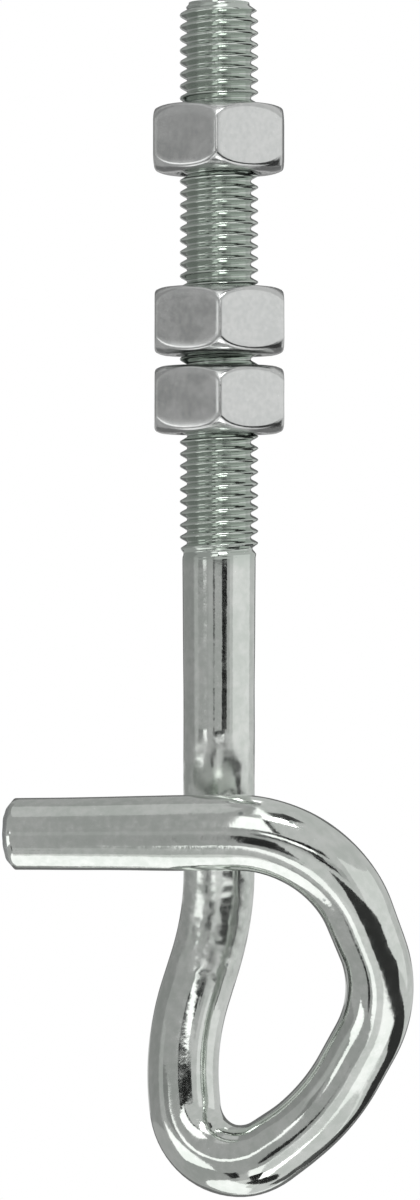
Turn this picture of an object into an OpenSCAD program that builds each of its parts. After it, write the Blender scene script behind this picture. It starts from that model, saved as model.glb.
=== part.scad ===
// Swing hook: a threaded rod with a pigtail eye at its foot and three hexagon nuts on its thread.
// The origin is on the rod axis, in the plane where the middle nut meets the underside of a beam.
// +Z runs up the rod, +X to the round side of the eye, and the free tail lies in front, at -Y.

/* [Thread] */
// Nominal diameter of the thread
thread_d = 12; // [8:0.5:16]
// Pitch of the thread
thread_pitch = 1.75; // [1:0.25:2]
// Length of the thread above the beam seat
thread_above = 42; // [32:1:80]
// Length of the thread below the beam seat
thread_below = 38.5; // [26:0.5:50]
// Diameter of the plain point above the first turn
point_d = 9.1; // [7:0.1:9.6]
// Length of the plain point
point_len = 0.5; // [0.2:0.1:3]
// Length of the chamfer that leads into the thread
lead_len = 0.9; // [0.5:0.1:3]

/* [Rod] */
// Diameter of the bent rod
rod_d = 10.5; // [8:0.1:12]
// Diameter of the shank just below the thread
neck_d = 10.8; // [8:0.1:12]
// Length over which the shank narrows to the rod's diameter
neck_len = 18; // [4:0.5:22]
// Extra diameter of the rod in its bends
bend_swell = 0.1; // [0.05:0.05:0.6]

/* [Eye] */
// Depth of the tail's axis below the beam seat, at the crown
tail_drop = 79.5; // [76:0.1:120]
// Reach of the tail's tip to the left of the shank
tail_reach = 30.6; // [20:0.1:60]
// Angle by which the tail points back past the shank
tail_tilt = 14; // [0:0.5:20]
// Height by which the tail's tip lies below the crown
tail_dip = 0.8; // [0:0.1:3]
// Free gap between the tail and the shank
mouth_gap = 6; // [3:0.1:10]
// Chamfer on the tail's tip
tip_chamfer = 1; // [0.3:0.1:2]
// Height of the crank bend above the tail's axis
crank_rise = 9; // [6:0.5:14]
// Bend radius of the crank
crank_r = 20; // [12:0.5:30]
// Distance that the crank sets the rod back
crank_back = 8; // [4:0.1:10]
// How late the rod comes forward round the eye, where 1 is steadily
sweep_ease = 1.4; // [1:0.1:2]
// Depth of the nape bend below the tail's axis
nape_drop = 13.9; // [11:0.1:16]
// Bend radius of the nape
nape_r = 25.5; // [14:0.5:32]
// Depth of the back bend below the tail's axis
back_drop = 32.6; // [30:0.1:34]
// Offset of the back bend to the left
back_x = 5.9; // [4:0.1:7]
// Bend radius of the back
back_r = 39.5; // [20:0.5:46]
// Depth of the toe's corner below the tail's axis
toe_drop = 56; // [54:0.1:60]
// Offset of the toe's corner to the left
toe_x = 3.7; // [3:0.1:5]
// Bend radius of the toe
toe_r = 9; // [6:0.1:9.4]
// Depth of the belly bend below the tail's axis
belly_drop = 41.8; // [41:0.1:43.5]
// Offset of the belly bend to the right
belly_x = 15.6; // [14:0.1:16.5]
// Bend radius of the belly
belly_r = 33.5; // [10:0.5:34]
// Depth of the side bend below the tail's axis
side_drop = 24.1; // [22:0.1:27]
// Offset of the side bend to the right
side_x = 25; // [24:0.1:32]
// Bend radius of the side
side_r = 18.5; // [12:0.5:23]
// Offset of the crown bend to the right
crown_x = 15.5; // [13:0.1:18]
// Bend radius of the crown
crown_r = 17.5; // [12:0.5:20]

/* [Nuts] */
// Width across the flats
nut_af = 19; // [17:0.5:24]
// Height of a nut
nut_h = 10; // [6:0.1:11]
// Diameter of the flat ring face at each end of a nut
nut_face_d = 17.1; // [15:0.1:18.5]
// Chamfer angle of a nut's corners
nut_chamfer = 30; // [15:1:40]
// Running clearance between a nut and the thread
nut_clearance = 0.05; // [0.02:0.01:0.1]
// Thickness that the upper and middle nuts clamp between them
grip = 16.8; // [10:0.1:20]
// Gap between the middle nut and the lower nut
lock_gap = 1.6; // [0.3:0.1:4]
// Turn of the upper nut about the rod
upper_turn = -2.2; // [-30:0.1:30]
// Turn of the middle and lower nuts about the rod
lower_turn = 0.8; // [-30:0.1:30]

/* [Hidden] */
$fn = 96;

// Length by which a straight run reaches into a bend
lap = 0.3;

// Depth of a metric thread
thread_depth = 0.6134 * thread_pitch;

// Heights along the rod
runout_z = -thread_below - thread_pitch;
neck_z = runout_z - neck_len;
tail_z = -tail_drop;
crank_z = tail_z + crank_rise;
nape_z = tail_z - nape_drop;

// The tail passes the leaning shank at the mouth gap, measured square to both
shank_dir = unit([0, crank_back, nape_z - crank_z]);
tail_span = crown_x + tail_reach;
tail_dir = unit([-tail_span, tail_span * tan(tail_tilt), -tail_dip]);
pass_z = tail_z - tail_dip * crown_x / tail_span;
mouth_dir = unit(cross(tail_dir, shank_dir));
mouth_side = mouth_dir.y < 0 ? mouth_dir : -mouth_dir;
mouth_y = (rod_d + mouth_gap - mouth_side.z * (pass_z - crank_z)) / mouth_side.y;

// Corners of the eye in the front view, from the nape round to the crown
EYE = [
    [0, nape_z],
    [-back_x, tail_z - back_drop],
    [-toe_x, tail_z - toe_drop],
    [belly_x, tail_z - belly_drop],
    [side_x, tail_z - side_drop],
    [crown_x, tail_z]
];
CROWN = len(EYE) - 1;

// The rod comes forward on its way round the eye, from the nape to the crown
function way(i) = i == 0 ? 0 : way(i - 1) + norm(EYE[i] - EYE[i - 1]);
function tail_y(x) = mouth_y - x * tan(tail_tilt);
function eye_y(i) = crank_back + (tail_y(crown_x) - crank_back) * pow(way(i) / way(CROWN), sweep_ease);
function eye_corner(i) = [EYE[i].x, eye_y(i), EYE[i].y];

// Corners of the rod's centreline, each with its bend radius
EYE_R = [nape_r, back_r, toe_r, belly_r, side_r, crown_r];
CORNERS = [
    [[0, 0, thread_above], 0],
    [[0, 0, crank_z], crank_r],
    for (i = [0:CROWN]) [eye_corner(i), EYE_R[i]],
    [[-tail_reach, tail_y(-tail_reach), tail_z - tail_dip], 0]
];
LAST = len(CORNERS) - 1;
crank_top = crank_z + setback(1);

function unit(v) = v / norm(v);
function corner(i) = CORNERS[i][0];
function radius(i) = CORNERS[i][1];
function heading(i) = unit(corner(i + 1) - corner(i));
function inner(i) = i > 0 && i < LAST;
function turn(i) = inner(i) ? acos(heading(i - 1) * heading(i)) : 0;
function setback(i) = radius(i) * tan(turn(i) / 2);
function run(i) = norm(corner(i + 1) - corner(i)) - setback(i) - setback(i + 1);

// Direction from the rod to the centre of bend i, where the bend starts and where it ends
function inward_start(i) = (heading(i) - heading(i - 1) * cos(turn(i))) / sin(turn(i));
function inward_end(i) = i == 0 ? [1, 0, 0] : (heading(i) * cos(turn(i)) - heading(i - 1)) / sin(turn(i));

// Roll about the rod that brings the plane of bend i into the plane of bend i + 1
function roll(i) = let(from = inward_end(i), to = inward_start(i + 1))
    atan2(heading(i) * cross(from, to), from * to);

// Round bend that leaves the origin along +Z and turns towards +X
module bend(r, angle) {
    translate([r, 0, 0]) rotate([90, 0, 180])
        rotate_extrude(angle = angle) translate([r, 0]) circle(d = rod_d + bend_swell);
}

// Straight run along +Z that reaches into the bends at its two ends
module straight(length) translate([0, 0, -lap]) cylinder(d = rod_d, h = length + 2 * lap);

// Straight tail along +Z with a chamfered tip
module tail(length) {
    rotate_extrude() polygon([
        [0, -lap],
        [rod_d / 2, -lap],
        [rod_d / 2, length - tip_chamfer],
        [rod_d / 2 - tip_chamfer, length],
        [0, length]
    ]);
}

// Rod from the start of bend i to the tip: the bend, the run that follows it, and the rest
module bent_rod(i) {
    r = radius(i);
    rotate(roll(i - 1)) {
        bend(r, turn(i));
        translate([r, 0, 0]) rotate([0, turn(i), 0]) translate([-r, 0, 0]) {
            if (i < LAST - 1) {
                straight(run(i));
                translate([0, 0, run(i)]) bent_rod(i + 1);
            } else {
                tail(run(i));
            }
        }
    }
}

// Threaded length with a chamfered end, a short run-out, and the plain shank down to the crank
module shank() {
    rotate_extrude() polygon([
        [0, crank_top - lap],
        [rod_d / 2, crank_top - lap],
        [rod_d / 2, neck_z],
        [neck_d / 2, runout_z],
        [thread_d / 2, -thread_below],
        [thread_d / 2, thread_above - point_len - lead_len],
        [point_d / 2, thread_above - point_len],
        [point_d / 2, thread_above],
        [0, thread_above]
    ]);
}

module hook_rod() color("silver") {
    union() {
        shank();
        translate([0, 0, crank_top]) rotate([180, 0, 0]) bent_rod(1);
    }
}

// Hexagon nut that stands on z = 0, with chamfered corners and a countersunk thread
module nut() {
    corner_r = nut_af / 2 / cos(30);
    corner_drop = (corner_r - nut_face_d / 2) * tan(nut_chamfer);
    bore_d = thread_d + 2 * nut_clearance;
    sink = thread_depth / 2;
    difference() {
        intersection() {
            rotate(30) cylinder(r = corner_r, h = nut_h, $fn = 6);
            rotate_extrude() polygon([
                [0, 0],
                [nut_face_d / 2, 0],
                [corner_r, corner_drop],
                [corner_r, nut_h - corner_drop],
                [nut_face_d / 2, nut_h],
                [0, nut_h]
            ]);
        }
        rotate_extrude() polygon([
            [0, 0],
            [bore_d / 2 + sink, 0],
            [bore_d / 2, sink],
            [bore_d / 2, nut_h - sink],
            [bore_d / 2 + sink, nut_h],
            [0, nut_h]
        ]);
    }
}

module upper_nut() color("gainsboro") translate([0, 0, grip]) rotate(upper_turn) nut();

module middle_nut() color("gainsboro") translate([0, 0, -nut_h]) rotate(lower_turn) nut();

module lower_nut() color("gainsboro")
    translate([0, 0, -2 * nut_h - lock_gap]) rotate(lower_turn) nut();

hook_rod();
upper_nut();
middle_nut();
lower_nut();
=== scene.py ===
import math

import bmesh
import bpy
from mathutils import Matrix, Vector, noise


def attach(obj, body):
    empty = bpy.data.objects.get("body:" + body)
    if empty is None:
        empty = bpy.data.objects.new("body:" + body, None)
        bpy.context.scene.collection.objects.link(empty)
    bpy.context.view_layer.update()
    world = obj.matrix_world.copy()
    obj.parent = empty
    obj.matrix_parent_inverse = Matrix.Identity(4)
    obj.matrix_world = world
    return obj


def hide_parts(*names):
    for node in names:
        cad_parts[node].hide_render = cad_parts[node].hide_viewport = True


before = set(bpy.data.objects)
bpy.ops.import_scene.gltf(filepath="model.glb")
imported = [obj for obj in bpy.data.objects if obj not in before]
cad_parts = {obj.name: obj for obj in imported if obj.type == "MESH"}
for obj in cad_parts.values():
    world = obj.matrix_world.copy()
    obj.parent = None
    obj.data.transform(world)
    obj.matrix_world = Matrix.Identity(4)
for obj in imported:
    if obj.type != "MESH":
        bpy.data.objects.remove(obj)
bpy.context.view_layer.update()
scene = bpy.context.scene
scene.view_settings.view_transform = "Standard"
print("frame loaded:", ", ".join(sorted(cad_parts)))

metresPerMm = 0.001  # the part is drawn in millimetres and scaled once; the room is in metres
mergeWithin = 0.002  # points of a piece that lie closer become one, in millimetres


# camera, level, in front of the shank and a little left of it
photoCamera = {
    "place": (-1.33, -750.0, -46.1),
    "sensor": 36.0,
    "lens": 152.5,
}


def setCamera(values):
    data = bpy.data.cameras.new("photoCamera")
    data.sensor_width = values["sensor"]
    data.lens = values["lens"]
    data.clip_start = 0.01
    camera = bpy.data.objects.new("photoCamera", data)
    camera.location = Vector(values["place"]) * metresPerMm
    camera.rotation_euler = (math.pi / 2, 0, 0)
    scene.collection.objects.link(camera)
    scene.camera = camera
    print("camera set")


setCamera(photoCamera)


# small helpers for the meshes
def onlyVerts(geom):
    return [g for g in geom if isinstance(g, bmesh.types.BMVert)]


def onlyEdges(geom):
    return [g for g in geom if isinstance(g, bmesh.types.BMEdge)]


def between(value, low, high):
    # 0 at low, 1 at high, eased at both ends
    t = min(max((value - low) / (high - low), 0.0), 1.0)
    return t * t * (3.0 - 2.0 * t)


def fromTable(rows, at):
    # straight-line reading of a table whose rows start with a place
    for low, high in zip(rows, rows[1:]):
        if at <= high[0]:
            share = max((at - low[0]) / (high[0] - low[0]), 0.0)
            return [a + (b - a) * share for a, b in zip(low[1:], high[1:])]
    return list(rows[-1][1:])


def loopAt(bm, height):
    # open edge loop that lies in one level plane
    found = []
    for edge in bm.edges:
        if edge.is_boundary and all(abs(v.co.z - height) < 1e-4 for v in edge.verts):
            found.append(edge)
    return found


def pushLoop(bm, edges, step):
    made = bmesh.ops.extrude_edge_only(bm, edges=edges)["geom"]
    verts = onlyVerts(made)
    bmesh.ops.translate(bm, verts=verts, vec=step)
    fresh = set(verts)
    loop = [e for e in onlyEdges(made) if all(v in fresh for v in e.verts)]
    return verts, loop


def joinInto(bm, part):
    mesh = bpy.data.meshes.new("part")
    part.to_mesh(mesh)
    part.free()
    bm.from_mesh(mesh)
    bpy.data.meshes.remove(mesh)


def finishPiece(name, bm, body, node, materials, smoothAngle):
    bmesh.ops.remove_doubles(bm, verts=bm.verts, dist=mergeWithin)
    bmesh.ops.recalc_face_normals(bm, faces=bm.faces)
    bmesh.ops.scale(bm, verts=bm.verts, vec=(metresPerMm,) * 3)
    sharp = math.radians(smoothAngle)
    for edge in bm.edges:
        edge.smooth = len(edge.link_faces) == 2 and edge.calc_face_angle(0.0) < sharp
    for face in bm.faces:
        face.smooth = True
    mesh = bpy.data.meshes.new(name)
    bm.to_mesh(mesh)
    bm.free()
    for material in materials:
        mesh.materials.append(material)
    piece = bpy.data.objects.new(name, mesh)
    scene.collection.objects.link(piece)
    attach(piece, body)
    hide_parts(node)
    print("made", name, "with", len(mesh.polygons), "faces")
    return piece


# rolled thread of the rod and of the nuts
thread = {
    "pitch": 1.75,
    "crest": 5.80,  # radius at the crest
    "root": 4.70,  # radius at the root
    "crestWidth": 0.30,
    "rootWidth": 0.34,
    "rounding": 0.07,  # rise of a round, as a share of the tooth's depth
    "crestEase": (3, 1.7),  # where the flank leaves a round, in rises and half widths
    "rootEase": (4, 1.85),
    "leftCrest": -0.09,  # height of one crest on the rod's left side
    "steps": 72,  # steps in one turn
    "seam": 0.004,  # how closely one turn meets the next
}


def spinThread(bm, values, crest, root, bottom, top):
    # a column of teeth on the left side climbs one pitch in one turn, as a right-hand screw
    pitch = values["pitch"]
    halfCrest = values["crestWidth"] / 2
    halfRoot = values["rootWidth"] / 2
    rise = (crest - root) * values["rounding"]
    crestRise, crestSpread = values["crestEase"]
    rootRise, rootSpread = values["rootEase"]
    upper = [
        (crest - rise, halfCrest),
        (crest - rise * crestRise, halfCrest * crestSpread),
        (root + rise * rootRise, pitch / 2 - halfRoot * rootSpread),
        (root + rise, pitch / 2 - halfRoot),
        (root, pitch / 2),
    ]
    lower = [(radius, -height) for radius, height in reversed(upper)]
    tooth = lower + [(crest, 0.0)] + upper
    first = math.floor((bottom - values["leftCrest"]) / pitch) - 1
    teeth = math.ceil((top - bottom) / pitch) + 3
    start = values["leftCrest"] + first * pitch
    chain = [bm.verts.new((-tooth[0][0], 0, start + tooth[0][1]))]
    for index in range(teeth):
        for radius, height in tooth[1:]:
            chain.append(bm.verts.new((-radius, 0, start + index * pitch + height)))
    edges = [bm.edges.new(pair) for pair in zip(chain, chain[1:])]
    bmesh.ops.spin(
        bm,
        geom=chain + edges,
        cent=(0, 0, 0),
        axis=(0, 0, 1),
        dvec=(0, 0, pitch / values["steps"]),
        angle=2 * math.pi,
        steps=values["steps"],
    )
    # the last column stands one pitch above the first, so the turns are merged here and not by the spin
    bmesh.ops.remove_doubles(bm, verts=bm.verts, dist=values["seam"])


def cutLevel(bm, height, keepBelow):
    bmesh.ops.bisect_plane(
        bm,
        geom=bm.verts[:] + bm.edges[:] + bm.faces[:],
        dist=1e-5,
        plane_co=(0, 0, height),
        plane_no=(0, 0, 1),
        clear_outer=keepBelow,
        clear_inner=not keepBelow,
    )


# one bent rod: threaded shank, pigtail eye, free tail
rod = {
    "top": 42.0,
    "topRadius": 4.55,  # the plain point above the first turn
    "pointTaper": 0.1,
    "endRings": (0.94, 0.6, 0.25),  # rings of the end face, as shares of its radius
    "leadTop": 41.55,
    "leadBottom": 40.7,
    "fadeTop": -37.4,  # the thread runs out between these two heights
    "fadeBottom": -40.25,
    "neck": 5.4,
    "plainTop": -40.8,
    "sides": 72,
    "step": 0.8,  # spacing of the rings along the rod
    # corners of the centreline, each with its bend radius
    "corners": [
        ((0.0, 0.0, -70.5), 20.0),
        ((0.0, 8.0, -93.4), 25.5),
        ((-5.9, 5.713, -112.1), 39.5),
        ((-3.7, 1.11, -135.5), 9.0),
        ((15.6, -4.793, -121.3), 33.5),
        ((25.0, -10.447, -103.6), 18.5),
        ((15.5, -18.559, -79.5), 17.5),
    ],
    "tip": (-30.6, -7.065, -80.3),
    "tipChamfer": 1.0,
    "tipRings": (0.62, 0.4, 0.18),
    "tipRelief": 0.16,  # unevenness of the sheared end face
    "tipGrain": 0.9,  # per millimetre
    "bareFrom": 0.2,  # share of the tip's chamfer where the sheared finish starts
    "waviness": 0.035,
    "waveScale": 0.11,  # per millimetre
    "waveStart": (2.0, 12.0),  # way along the plain rod where the waviness sets in
    "smoothAngle": 50,
    # way along the plain rod, radius in the eye's plane, radius square to it
    "girths": [
        (0, 5.40, 5.40),
        (18, 5.27, 5.27),
        (36, 5.25, 5.25),
        (60, 5.27, 5.28),
        (84, 5.29, 5.30),
        (97, 5.26, 5.30),
        (106, 4.97, 5.30),
        (138, 4.95, 5.32),
        (147, 5.15, 5.30),
        (158, 5.42, 5.28),
        (168, 5.52, 5.25),
        (177, 5.46, 5.25),
        (187, 5.32, 5.25),
        (202, 5.22, 5.22),
    ],
}


def rollThread(bm, values):
    spinThread(bm, thread, thread["crest"], thread["root"], values["fadeBottom"], values["top"])
    lead = [
        (values["leadBottom"], thread["crest"]),
        (values["leadTop"], values["topRadius"]),
        (values["top"], values["topRadius"] - values["pointTaper"]),
    ]
    for vert in bm.verts:
        radius = vert.co.xy.length
        full = between(vert.co.z, values["fadeBottom"], values["fadeTop"])
        wanted = values["neck"] + (radius - values["neck"]) * full
        if vert.co.z > values["leadBottom"]:
            wanted = min(radius, fromTable(lead, vert.co.z)[0])
        vert.co.xy *= wanted / radius
    cutLevel(bm, values["top"], True)
    cutLevel(bm, values["fadeBottom"], False)
    # rim and end face
    rim = loopAt(bm, values["top"])
    for scale in values["endRings"]:
        verts, rim = pushLoop(bm, rim, (0, 0, 0))
        for vert in verts:
            vert.co.xy = vert.co.xy.normalized() * values["topRadius"] * scale
    bmesh.ops.contextual_create(bm, geom=rim)


def sweepRod(bm, values):
    circle = bmesh.ops.create_circle(bm, segments=values["sides"], radius=values["neck"])
    verts = circle["verts"]
    place = Vector((0, 0, values["plainTop"]))
    bmesh.ops.translate(bm, verts=verts, vec=place)
    edges = list({e for v in verts for e in v.link_edges})
    rings = []
    way = 0.0

    def keepRing(heading):
        rings.append((list(verts), place.copy(), heading.copy(), way))

    corners = [Vector(c) for c, r in values["corners"]] + [Vector(values["tip"])]
    radii = [r for c, r in values["corners"]] + [0.0]
    heading = Vector((0, 0, -1))
    keepRing(heading)
    for index, corner in enumerate(corners):
        last = index == len(corners) - 1
        turn = 0.0
        if not last:
            after = (corners[index + 1] - corner).normalized()
            turn = heading.angle(after)
        setback = radii[index] * math.tan(turn / 2)
        length = (corner - place).length - setback
        if last:
            length -= values["tipChamfer"]
        count = max(math.ceil(length / values["step"]), 1)
        for i in range(count):
            step = heading * length / count
            verts, edges = pushLoop(bm, edges, step)
            place = place + step
            way += length / count
            keepRing(heading)
        if last:
            break
        inward = (after - heading * math.cos(turn)) / math.sin(turn)
        centre = place + inward * radii[index]
        axis = heading.cross(after).normalized()
        count = math.ceil(radii[index] * turn / values["step"])
        turnStep = Matrix.Rotation(turn / count, 3, axis)
        for i in range(count):
            made = bmesh.ops.spin(
                bm,
                geom=verts + edges,
                cent=centre,
                axis=axis,
                angle=turn / count,
                steps=1,
            )["geom_last"]
            verts, edges = onlyVerts(made), onlyEdges(made)
            place = centre + turnStep @ (place - centre)
            heading = turnStep @ heading
            way += radii[index] * turn / count
            keepRing(heading)
        heading = after
    return rings, edges


def shapeRings(rings, values, straight):
    # girth, flattening in the bends and the slight waviness of hand-bent stock
    # straight keeps each point's place on the rod before it was bent, for the finish
    for verts, place, heading, way in rings:
        flat, deep = fromTable(values["girths"], way)
        inPlane = heading.cross(Vector((0, 1, 0))).normalized()
        across = heading.cross(inPlane).normalized()
        for vert in verts:
            offset = vert.co - place
            a, b = offset.dot(inPlane), offset.dot(across)
            size = math.hypot(a, b)
            wave = noise.noise(vert.co * values["waveScale"]) * values["waviness"]
            wave *= between(way, *values["waveStart"])
            moved = inPlane * (a / size * (flat + wave)) + across * (b / size * (deep + wave))
            vert.co = place + moved
            vert[straight] = (moved.dot(inPlane), moved.dot(across), way)


def closeTip(bm, values, lastRing, edges):
    verts, place, heading, way = lastRing
    radius = fromTable(values["girths"], way)[0]
    forward = heading * values["tipChamfer"]
    end = place + forward
    for scale in (1.0 - values["tipChamfer"] / radius, *values["tipRings"]):
        verts, edges = pushLoop(bm, edges, forward)
        forward = Vector()  # only the first ring moves on, the others lie in the end face
        for vert in verts:
            vert.co = end + (vert.co - end).normalized() * radius * scale
            uneven = 0.5 + 0.5 * noise.noise(vert.co * values["tipGrain"])
            vert.co -= heading * values["tipRelief"] * uneven
    bmesh.ops.contextual_create(bm, geom=edges)


def makeRod(material, endMaterial):
    bm = bmesh.new()
    straight = bm.verts.layers.float_vector.new("straight")
    rings, edges = sweepRod(bm, rod)
    shapeRings(rings, rod, straight)
    closeTip(bm, rod, rings[-1], edges)
    threadPart = bmesh.new()
    rollThread(threadPart, rod)
    joinInto(bm, threadPart)
    for vert in bm.verts:
        if vert.co.z > rod["plainTop"] + 0.01:
            vert[straight] = (vert.co.x, -vert.co.y, rod["plainTop"] - vert.co.z)
    bmesh.ops.bridge_loops(bm, edges=loopAt(bm, rod["fadeBottom"]) + loopAt(bm, rod["plainTop"]))
    # the two cut ends have a finish of their own
    tipHeading = rings[-1][2]
    tipPlane = rings[-1][1] + tipHeading * rod["tipChamfer"] * rod["bareFrom"]
    for face in bm.faces:
        middle = face.calc_center_median()
        if middle.z > rod["top"] - 0.05 or (middle - tipPlane).dot(tipHeading) > 0:
            face.material_index = 1
    finishes = [material, endMaterial]
    return finishPiece("bent_hook_rod", bm, "hook", "hook_rod", finishes, rod["smoothAngle"])


# hexagon nuts
nut = {
    "flats": 19.0,
    "height": 10.0,
    "faceRadius": 7.8,  # flat ring face at each end
    "domeReach": 3.32,  # the corners fall away from the ring face
    "domeDrop": 2.9,
    "domeEase": 0.4,  # share of a parabola in the fall, the rest is an ellipse
    "domeRings": (0.2, 0.4, 0.6, 0.8, 1.0),
    "soft": 0.36,  # rounding of the edges
    "sink": 6.55,  # radius of the countersink at the face
    "sinkLand": 0.15,
    "boreCrest": 5.12,
    "boreRoot": 6.06,
    "sideCuts": 11,
    "wallSteps": 6,
    "waviness": 0.03,
    "waveScale": 0.23,  # per millimetre
    "smoothAngle": 40,
}

nutPlaces = {
    "upper_nut": {"bottom": 16.8, "turn": -2.2},
    "middle_nut": {"bottom": -10.0, "turn": 0.8},
    "lower_nut": {"bottom": -21.6, "turn": 0.8},
}


def domeFall(values, radius):
    share = max(radius - values["faceRadius"], 0.0) / values["domeReach"]
    ellipse = 1.0 - math.sqrt(1.0 - share * share)
    parabola = share * share
    return values["domeDrop"] * (ellipse + (parabola - ellipse) * values["domeEase"])


def hexBody(bm, values, place):
    # hexagon with a corner to the front, raised in steps, its ends turned to a dome
    cornerRadius = values["flats"] / 2 / math.cos(math.pi / 6)
    made = bmesh.ops.create_circle(bm, segments=6, radius=cornerRadius)
    turn = Matrix.Rotation(math.radians(place["turn"]), 3, "Z")
    bmesh.ops.rotate(bm, verts=made["verts"], cent=(0, 0, 0), matrix=turn)
    corners = [v.co.copy() for v in made["verts"]]
    bmesh.ops.subdivide_edges(bm, edges=bm.edges[:], cuts=values["sideCuts"])
    low = bm.edges[:]
    high = low
    rise = values["height"] / values["wallSteps"]
    for i in range(values["wallSteps"]):
        verts, high = pushLoop(bm, high, (0, 0, rise))
    for vert in bm.verts:
        drop = domeFall(values, vert.co.xy.length)
        share = vert.co.z / values["height"]
        vert.co.z += drop * (1 - 2 * share)
    for loop, level, sign in ((low, 0.0, 1.0), (high, values["height"], -1.0)):
        passed = 0.0
        for share in values["domeRings"]:
            verts, loop = pushLoop(bm, loop, (0, 0, 0))
            for vert in verts:
                inner = vert.co.xy.normalized() * values["faceRadius"]
                vert.co.xy = vert.co.xy.lerp(inner, (share - passed) / (1.0 - passed))
                vert.co.z = level + sign * domeFall(values, vert.co.xy.length)
            passed = share
        verts, loop = pushLoop(bm, loop, (0, 0, 0))
        for vert in verts:
            vert.co.xy = vert.co.xy.normalized() * (values["sink"] + values["sinkLand"])
    # soften the six corners and the two rims
    rims = set(low) | set(high)

    def atCorner(vert):
        return min((vert.co.xy - c.xy).length for c in corners) < 1e-3

    soft = [e for e in bm.edges if e in rims or all(atCorner(v) for v in e.verts)]
    bmesh.ops.bevel(
        bm,
        geom=soft,
        offset=values["soft"],
        offset_type="OFFSET",
        segments=3,
        profile=0.5,
        affect="EDGES",
        material=-1,
        clamp_overlap=True,
    )


def tapBore(bm, values, bottom):
    # the nut's own thread, on the same screw line as the rod's, opened by a countersink at each end
    height = values["height"]
    spinThread(bm, thread, values["boreRoot"], values["boreCrest"], bottom, bottom + height)
    for vert in bm.verts:
        radius = vert.co.xy.length
        depth = min(vert.co.z - bottom, bottom + height - vert.co.z)
        vert.co.xy *= max(radius, values["sink"] - depth) / radius
    cutLevel(bm, bottom + height, True)
    cutLevel(bm, bottom, False)


def makeNut(node, place, material):
    bm = bmesh.new()
    hexBody(bm, nut, place)
    for vert in bm.verts:
        spot = vert.co * nut["waveScale"] + Vector((0, 0, place["bottom"]))
        wave = noise.noise(spot) * nut["waviness"]
        vert.co += vert.co.normalized() * wave - Vector((0, 0, wave))
    bmesh.ops.translate(bm, verts=bm.verts, vec=(0, 0, place["bottom"]))
    bore = bmesh.new()
    tapBore(bore, nut, place["bottom"])
    joinInto(bm, bore)
    openLoops = [e for e in bm.edges if e.is_boundary]
    middle = place["bottom"] + nut["height"] / 2
    for top in (True, False):
        bmesh.ops.bridge_loops(bm, edges=[e for e in openLoops if (e.verts[0].co.z > middle) == top])
    return finishPiece("hex_" + node, bm, node, node, [material], nut["smoothAngle"])


# finishes: zinc plate
def startMaterial(name):
    material = bpy.data.materials.new(name)
    material.use_nodes = True
    tree = material.node_tree
    return material, tree.nodes, tree.links, tree.nodes["Principled BSDF"]


def noiseNode(tree, coords, perMm, detail):
    # perMm is one number, or three where the pattern is drawn out along the rod
    nodes, links = tree
    mapping = nodes.new("ShaderNodeMapping")
    mapping.inputs["Scale"].default_value = perMm if isinstance(perMm, tuple) else (perMm,) * 3
    links.new(coords, mapping.inputs["Vector"])
    texture = nodes.new("ShaderNodeTexNoise")
    texture.inputs["Scale"].default_value = 1.0
    texture.inputs["Detail"].default_value = detail
    links.new(mapping.outputs["Vector"], texture.inputs["Vector"])
    return texture.outputs["Fac"]


def rangeNode(tree, value, fromRange, toRange):
    nodes, links = tree
    ranged = nodes.new("ShaderNodeMapRange")
    ranged.interpolation_type = "SMOOTHSTEP"
    links.new(value, ranged.inputs["Value"])
    for socket, number in zip(("From Min", "From Max", "To Min", "To Max"), fromRange + toRange):
        ranged.inputs[socket].default_value = number
    return ranged.outputs["Result"]


def mathNode(tree, operation, first, second):
    nodes, links = tree
    node = nodes.new("ShaderNodeMath")
    node.operation = operation
    for socket, value in zip(node.inputs, (first, second)):
        if isinstance(value, (int, float)):
            socket.default_value = value
        else:
            links.new(value, socket)
    return node.outputs["Value"]


def colourNode(tree, factor, low, high):
    nodes, links = tree
    node = nodes.new("ShaderNodeMix")
    node.data_type = "RGBA"
    links.new(factor, node.inputs["Factor"])
    for socket, colour in ((node.inputs[6], low), (node.inputs[7], high)):
        if isinstance(colour, tuple):
            socket.default_value = (*colour, 1)
        else:
            links.new(colour, socket)
    return node.outputs[2]


def bumpNode(tree, height, depth):
    nodes, links = tree
    bump = nodes.new("ShaderNodeBump")
    bump.inputs["Strength"].default_value = 1.0
    bump.inputs["Distance"].default_value = depth * metresPerMm
    links.new(height, bump.inputs["Height"])
    return bump.outputs["Normal"]


sumRange = (0.7, 1.3)  # what two noises added together mostly give

rodFinish = {
    "dull": (0.63, 0.67, 0.63),
    "bright": (0.75, 0.775, 0.745),
    "stainAndShade": (0.40, 0.43, 0.415),  # in pits
    "threadPlate": (0.575, 0.625, 0.58),
    "threadRoughness": 0.03,
    "roughness": (0.05, 0.12),
    "scuffed": ((24, 27, 34, 40), (43, 47, 60, 66)),  # marks of the bending tool, by the way along the rod
    "scuffRoughness": 0.13,
    "dents": 0.36,  # per millimetre
    "dentDepth": 17,  # in bump heights
    "clouds": 0.13,  # patches per millimetre
    "drawn": (1.5, 1.5, 0.10),  # lines drawn along the rod
    "drawnHeight": 0.5,  # in bump heights
    "mottle": 0.75,
    "grain": 4.5,
    "grainHeight": 0.06,
    "pits": 0.16,
    "pitSize": (0.02, 0.07),
    "pitDepth": 0.5,
    "threadEdge": (-1.5, 1.0),  # where the thread's finish ends, by the way along the rod
    "threadCalm": 0.85,  # share of the bumps that the thread lacks
    "depth": 0.014,  # height of the bumps in millimetres
}


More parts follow.
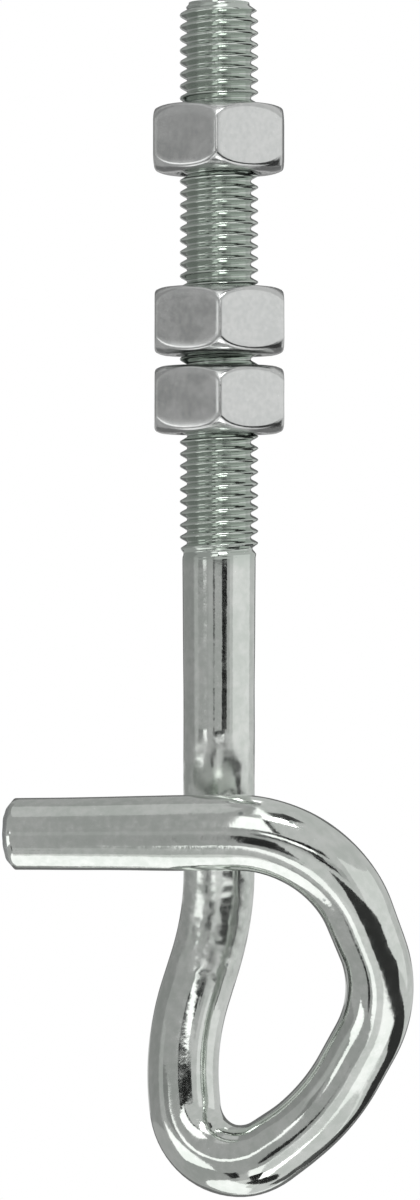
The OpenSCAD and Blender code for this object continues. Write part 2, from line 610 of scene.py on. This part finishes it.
def zincRod(values):
    material, nodes, links, shader = startMaterial("zincRod")
    tree = (nodes, links)
    attribute = nodes.new("ShaderNodeAttribute")
    attribute.attribute_name = "straight"
    along = attribute.outputs["Vector"]
    clouds = noiseNode(tree, along, values["clouds"], 3)
    drawn = noiseNode(tree, along, values["drawn"], 4)
    mottle = noiseNode(tree, along, values["mottle"], 3)
    grain = noiseNode(tree, along, values["grain"], 2)
    # small pits in a few of the cells
    cells = nodes.new("ShaderNodeTexVoronoi")
    cells.inputs["Scale"].default_value = values["pits"]
    links.new(along, cells.inputs["Vector"])
    pits = rangeNode(tree, cells.outputs["Distance"], values["pitSize"], (1.0, 0.0))
    separate = nodes.new("ShaderNodeSeparateXYZ")
    links.new(along, separate.inputs["Vector"])
    way = separate.outputs["Z"]
    threaded = rangeNode(tree, way, values["threadEdge"], (1.0, 0.0))
    tone = rangeNode(tree, mathNode(tree, "ADD", clouds, mottle), sumRange, (0.0, 1.0))
    plate = colourNode(tree, tone, values["dull"], values["bright"])
    plate = colourNode(tree, pits, plate, values["stainAndShade"])
    plate = colourNode(tree, threaded, plate, values["threadPlate"])
    links.new(plate, shader.inputs["Base Color"])
    shader.inputs["Metallic"].default_value = 1.0
    scuffed = 0.0
    for start, full, fading, stop in values["scuffed"]:
        rising = rangeNode(tree, way, (start, full), (0.0, 1.0))
        falling = rangeNode(tree, way, (fading, stop), (1.0, 0.0))
        scuffed = mathNode(tree, "ADD", mathNode(tree, "MULTIPLY", rising, falling), scuffed)
    rough = rangeNode(tree, mathNode(tree, "ADD", mottle, drawn), sumRange, values["roughness"])
    rough = mathNode(tree, "ADD", rough, mathNode(tree, "MULTIPLY", scuffed, values["scuffRoughness"]))
    rough = mathNode(tree, "ADD", rough, mathNode(tree, "MULTIPLY", threaded, values["threadRoughness"]))
    links.new(rough, shader.inputs["Roughness"])
    dents = noiseNode(tree, along, values["dents"], 1)
    dents = mathNode(tree, "MULTIPLY", mathNode(tree, "MULTIPLY", dents, scuffed), values["dentDepth"])
    height = mathNode(tree, "ADD", mottle, mathNode(tree, "MULTIPLY", drawn, values["drawnHeight"]))
    height = mathNode(tree, "ADD", height, dents)
    height = mathNode(tree, "ADD", height, mathNode(tree, "MULTIPLY", grain, values["grainHeight"]))
    height = mathNode(tree, "SUBTRACT", height, mathNode(tree, "MULTIPLY", pits, values["pitDepth"]))
    smooth = mathNode(tree, "SUBTRACT", 1.0, mathNode(tree, "MULTIPLY", threaded, values["threadCalm"]))
    height = mathNode(tree, "MULTIPLY", height, smooth)
    links.new(bumpNode(tree, height, values["depth"]), shader.inputs["Normal"])
    return material


endFinish = {
    "dull": (0.42, 0.44, 0.43),
    "bright": (0.62, 0.64, 0.63),
    "tear": 0.8,
    "grain": 3.5,
    "grainRange": (0.3, 0.7),
    "grainHeight": 0.2,
    "roughness": (0.34, 0.55),
    "depth": 0.16,
}


def shearedEnd(values):
    material, nodes, links, shader = startMaterial("shearedEnd")
    tree = (nodes, links)
    attribute = nodes.new("ShaderNodeAttribute")
    attribute.attribute_name = "straight"
    tear = noiseNode(tree, attribute.outputs["Vector"], values["tear"], 4)
    grain = noiseNode(tree, attribute.outputs["Vector"], values["grain"], 2)
    links.new(colourNode(tree, tear, values["dull"], values["bright"]), shader.inputs["Base Color"])
    shader.inputs["Metallic"].default_value = 1.0
    links.new(rangeNode(tree, grain, values["grainRange"], values["roughness"]), shader.inputs["Roughness"])
    height = mathNode(tree, "ADD", tear, mathNode(tree, "MULTIPLY", grain, values["grainHeight"]))
    links.new(bumpNode(tree, height, values["depth"]), shader.inputs["Normal"])
    return material


nutFinish = {
    "dull": (0.63, 0.645, 0.635),
    "bright": (0.70, 0.71, 0.70),
    # painted shade inside the tapped hole
    "stainAndShade": (0.34, 0.36, 0.35),
    "blotches": 0.33,  # per millimetre
    "blotchRange": (0.35, 0.65),
    "mottle": 1.3,
    "grain": 6.0,
    "grainHeight": 0.12,
    "boreEdge": 0.1,  # the painted shade of the bore ends this far past the countersink
    "roughness": (0.17, 0.21),
    "depth": 0.008,
}


def zincNut(values):
    material, nodes, links, shader = startMaterial("zincNut")
    tree = (nodes, links)
    coords = nodes.new("ShaderNodeTexCoord")
    toMm = nodes.new("ShaderNodeVectorMath")
    toMm.operation = "SCALE"
    toMm.inputs["Scale"].default_value = 1.0 / metresPerMm
    links.new(coords.outputs["Object"], toMm.inputs[0])
    place = toMm.outputs["Vector"]
    blotches = noiseNode(tree, place, values["blotches"], 4)
    mottle = noiseNode(tree, place, values["mottle"], 3)
    grain = noiseNode(tree, place, values["grain"], 2)
    # painted shade: the base colour is darker inside the tapped hole
    separate = nodes.new("ShaderNodeSeparateXYZ")
    links.new(place, separate.inputs["Vector"])
    radius = mathNode(
        tree,
        "SQRT",
        mathNode(
            tree,
            "ADD",
            mathNode(tree, "POWER", separate.outputs["X"], 2.0),
            mathNode(tree, "POWER", separate.outputs["Y"], 2.0),
        ),
        0.0,
    )
    boreRange = (nut["boreRoot"], nut["sink"] + values["boreEdge"])
    # painted shade mask: full inside the bore, gone just past the countersink
    paintedBoreShade = rangeNode(tree, radius, boreRange, (1.0, 0.0))
    tone = rangeNode(tree, mathNode(tree, "ADD", blotches, mottle), sumRange, (0.0, 1.0))
    plate = colourNode(tree, tone, values["dull"], values["bright"])
    links.new(colourNode(tree, paintedBoreShade, plate, values["stainAndShade"]), shader.inputs["Base Color"])
    shader.inputs["Metallic"].default_value = 1.0
    rough = rangeNode(tree, blotches, values["blotchRange"], values["roughness"])
    links.new(rough, shader.inputs["Roughness"])
    height = mathNode(tree, "ADD", mottle, mathNode(tree, "MULTIPLY", grain, values["grainHeight"]))
    links.new(bumpNode(tree, height, values["depth"]), shader.inputs["Normal"])
    return material


makeRod(zincRod(rodFinish), shearedEnd(endFinish))
nutZinc = zincNut(nutFinish)
for node, place in nutPlaces.items():
    makeNut(node, place, nutZinc)


# studio: a white room with grey, black and bright cards on a wide dome, seen only by the metal
dome = {
    "centre": (0.0, 0.0, -0.08),
    "radius": 2.0,
    "gap": 0.005,  # from one card to the next in front of it
    "spacing": 5.0,  # degrees between a card's points
}

# azimuth from the camera's side towards +X and height above the level, in degrees, and brightness;
# a later card hangs in front of the ones before it
cards = {
    "leftGrey": {"azimuth": (-180, -5), "height": (-60, 88), "shine": 0.43},
    "leftFar": {"azimuth": (-150, -88), "height": (-12, 56), "shine": 0.33},
    "leftPale": {"azimuth": (-84, -70), "height": (-4, 14), "shine": 0.50},
    "leftNear": {"azimuth": (-69, -53), "height": (1, 9), "shine": 0.29},
    "leftUp": {"azimuth": (-132, -42), "height": (54, 76), "shine": 0.60},
    "toeBox": {"azimuth": (-52, -40), "height": (1.5, 8), "shine": 1.4},
    "leftBright": {"azimuth": (-80, -53), "height": (-27, -5), "shine": 1.4},
    "rightGrey": {"azimuth": (-14, 180), "height": (-8, 88), "shine": 0.64},
    "rightPale": {"azimuth": (-16, 180), "height": (-50, -8), "shine": 0.70},
    "rightBright": {"azimuth": (45, 114), "height": (-14, 24), "shine": 0.88},
    "behind": {"azimuth": (154, 206), "height": (-44, 28), "shine": 0.18},
    "behindLow": {"azimuth": (152, 208), "height": (-9, -2.5), "shine": 0.6},
    "backTop": {"azimuth": (170, 190), "height": (55, 80), "shine": 1.8},
    "backLow": {"azimuth": (150, 190), "height": (-76, -48), "shine": 1.2},
    "topDark": {"azimuth": (12, 78), "height": (64, 77), "shine": 0.06},
    "browTop": {"azimuth": (-14, 9), "height": (63, 87), "shine": 1.5},
    "browBox": {"azimuth": (-3, 31), "height": (52.5, 62.5), "shine": 7.5},
    "frontGrey": {"azimuth": (-34, 34), "height": (-3, 7), "shine": 0.48},
    "frontEdge": {"azimuth": (-14, 18), "height": (2.2, 6.9), "shine": 0.05},
    "streakBox": {"azimuth": (-14, 15), "height": (6.9, 12.2), "shine": 1.6},
    "frontBox": {"azimuth": (-27, -6), "height": (17.2, 52), "shine": 1.5},
    "frontSeam": {"azimuth": (-6, -2), "height": (20, 50), "shine": 0.05},
    "frontSlit": {"azimuth": (-17, 27), "height": (12.0, 17.8), "shine": 0.02},
    "lowDark": {"azimuth": (11, 80), "height": (-37, -11), "shine": 0.04},
    "lowBlack": {"azimuth": (74, 153), "height": (-44, -23), "shine": 0.04},
    "lowLeft": {"azimuth": (-31, -12), "height": (-54, -35), "shine": 1.3},
    "lowGrey": {"azimuth": (-14, 16), "height": (-54, -36), "shine": 0.78},
    "lowBox": {"azimuth": (16, 70), "height": (-54, -38), "shine": 1.25},
    "tailLow": {"azimuth": (-46, -31), "height": (-62, -42), "shine": 0.54},
    "lowPale": {"azimuth": (28, 180), "height": (-88, -53), "shine": 0.75},
    "sideDark": {"azimuth": (124, 148), "height": (-68, -44), "shine": 0.1},
    "leftLowBox": {"azimuth": (-170, -56), "height": (-82, -54), "shine": 1.3},
    "toeDark": {"azimuth": (-50, -41), "height": (-50, -33), "shine": 0.03},
    "floorDark": {"azimuth": (-48, 110), "height": (-88, -72), "shine": 0.03},
    "chinDark": {"azimuth": (-30, -9), "height": (-74, -54), "shine": 0.02},
    "chinBox": {"azimuth": (-9, 22), "height": (-72, -56), "shine": 2.5},
    "crownDark": {"azimuth": (-26.5, -11.5), "height": (-26, -6), "shine": 0.03},
    "rightSlit": {"azimuth": (9, 25), "height": (-3, 2), "shine": 0.02},
    "leftSlit": {"azimuth": (-18.5, -13.5), "height": (-0.7, 5), "shine": 0.12},
}


def hangCard(name, card, radius):
    bm = bmesh.new()
    low, high = (math.radians(a) for a in card["height"])
    start, stop = (math.radians(a) for a in card["azimuth"])
    spacing = math.radians(dome["spacing"])
    first = bm.verts.new((0, -math.cos(low) * radius, math.sin(low) * radius))
    bmesh.ops.spin(
        bm,
        geom=[first],
        cent=(0, 0, 0),
        axis=(-1, 0, 0),
        angle=high - low,
        steps=math.ceil((high - low) / spacing),
    )
    bmesh.ops.rotate(bm, verts=bm.verts, cent=(0, 0, 0), matrix=Matrix.Rotation(start, 3, "Z"))
    bmesh.ops.spin(
        bm,
        geom=bm.verts[:] + bm.edges[:],
        cent=(0, 0, 0),
        axis=(0, 0, 1),
        angle=stop - start,
        steps=math.ceil((stop - start) / spacing),
    )
    bmesh.ops.translate(bm, verts=bm.verts, vec=dome["centre"])
    mesh = bpy.data.meshes.new(name)
    bm.to_mesh(mesh)
    bm.free()
    material = bpy.data.materials.new(name)
    material.use_nodes = True
    material.cycles.emission_sampling = "NONE"
    nodes, links = material.node_tree.nodes, material.node_tree.links
    nodes.clear()
    glow = nodes.new("ShaderNodeEmission")
    glow.inputs["Strength"].default_value = card["shine"]
    output = nodes.new("ShaderNodeOutputMaterial")
    links.new(glow.outputs["Emission"], output.inputs["Surface"])
    mesh.materials.append(material)
    piece = bpy.data.objects.new(name, mesh)
    piece.visible_camera = False
    piece.visible_diffuse = False
    piece.visible_shadow = False
    scene.collection.objects.link(piece)


def hangCards():
    for order, (name, card) in enumerate(cards.items()):
        hangCard(name, card, dome["radius"] - dome["gap"] * order)
    print("cards hung:", len(cards))


hangCards()

room = {
    "floor": -2.3,
    "floorRadius": 1.6,
    "floorColour": (0.92, 0.92, 0.91),
    "floorRoughness": 0.9,
    "fill": 0.8,  # what the white room gives to matt surfaces
    "lampHeight": 1.7,
    "lampSize": 1.4,
    "lampPower": 14.0,
}


def makeRoom(values):
    world = bpy.data.worlds.new("whiteRoom")
    scene.world = world
    world.use_nodes = True
    nodes, links = world.node_tree.nodes, world.node_tree.links
    background = nodes["Background"]
    background.inputs["Color"].default_value = (1, 1, 1, 1)
    path = nodes.new("ShaderNodeLightPath")
    tree = (nodes, links)
    seen = mathNode(tree, "MAXIMUM", path.outputs["Is Camera Ray"], path.outputs["Is Glossy Ray"])
    seen = mathNode(tree, "MAXIMUM", seen, path.outputs["Is Transmission Ray"])
    links.new(mathNode(tree, "MAXIMUM", seen, values["fill"]), background.inputs["Strength"])
    lampData = bpy.data.lights.new("softLamp", "AREA")
    lampData.shape = "DISK"
    lampData.size = values["lampSize"]
    lampData.energy = values["lampPower"]
    lamp = bpy.data.objects.new("softLamp", lampData)
    lamp.location = (0, 0, values["lampHeight"])
    lamp.visible_glossy = False
    scene.collection.objects.link(lamp)
    bm = bmesh.new()
    bmesh.ops.create_circle(bm, cap_ends=True, segments=64, radius=values["floorRadius"])
    bmesh.ops.translate(bm, verts=bm.verts, vec=(0, 0, values["floor"]))
    mesh = bpy.data.meshes.new("paleFloor")
    bm.to_mesh(mesh)
    bm.free()
    material, nodes, links, shader = startMaterial("paleFloor")
    shader.inputs["Base Color"].default_value = (*values["floorColour"], 1)
    shader.inputs["Roughness"].default_value = values["floorRoughness"]
    mesh.materials.append(material)
    floor = bpy.data.objects.new("paleFloor", mesh)
    scene.collection.objects.link(floor)
    print("room made")


makeRoom(room)
